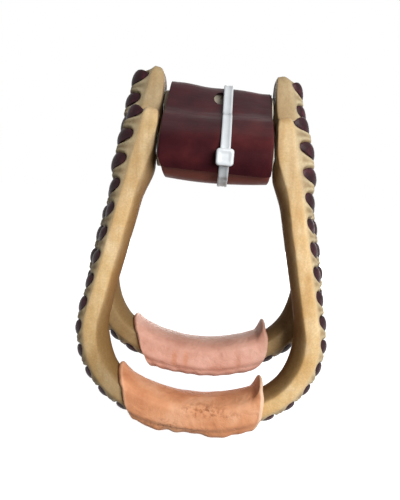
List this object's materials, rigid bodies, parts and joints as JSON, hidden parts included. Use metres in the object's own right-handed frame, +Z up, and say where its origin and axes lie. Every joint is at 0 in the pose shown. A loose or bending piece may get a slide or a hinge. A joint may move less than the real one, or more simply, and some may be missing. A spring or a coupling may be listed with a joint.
{
  "type": "rawhide laced stirrup pair",
  "caption": "Pair of bent wood stirrups in laced rawhide with leather tread covers, their neck rollers bundled in a leather wrap with a cable tie.",
  "frame": {"origin": "middle of the front stirrup's neck bolt, inside the leather wrap", "axes": "+Z up with the treads hanging down, -Y out of the front stirrup's face, X along the neck bolts"},
  "size_m": [0.1579, 0.0733, 0.2331],
  "materials": {
    "wood": "sanded laminated wood",
    "rawhide": "dried rawhide, translucent and slightly glossy",
    "latigo": "oiled latigo lace, dark plum",
    "tread_leather": "natural vegetable tanned leather",
    "thread": "waxed linen thread",
    "steel": "zinc plated steel",
    "roller": "extruded plastic sleeve, grey beige",
    "wrap_leather": "oxblood strap leather, waxed",
    "nylon": "natural white moulded nylon"
  },
  "bodies": {
    "neck_bundle": {"neck_wrap": "wrap_leather", "cable_tie": "nylon", "front_neck_roller": "roller", "rear_neck_roller": "roller"},
    "front_stirrup": {"front_frame_core": "wood", "front_rawhide_cover": "rawhide", "front_seam_lace": "latigo", "front_tread_cover": "tread_leather", "front_tread_thread": "thread", "front_neck_bolt": "steel", "front_neck_nut": "steel", "front_head_washer": "steel", "front_nut_washer": "steel"},
    "rear_stirrup": {"rear_frame_core": "wood", "rear_rawhide_cover": "rawhide", "rear_seam_lace": "latigo", "rear_tread_cover": "tread_leather", "rear_tread_thread": "thread", "rear_neck_bolt": "steel", "rear_neck_nut": "steel", "rear_head_washer": "steel", "rear_nut_washer": "steel"}
  },
  "joints": [
    {"name": "front_swing", "type": "hinge", "parent": "neck_bundle", "child": "front_stirrup", "pos_m": [0, 0, 0], "axis": [-1, 0, 0], "range_deg": [0, 10]},
    {"name": "rear_swing", "type": "hinge", "parent": "neck_bundle", "child": "rear_stirrup", "pos_m": [0, 0.0286, 0.0295], "axis": [1, 0, 0], "range_deg": [0, 60]}
  ]
}
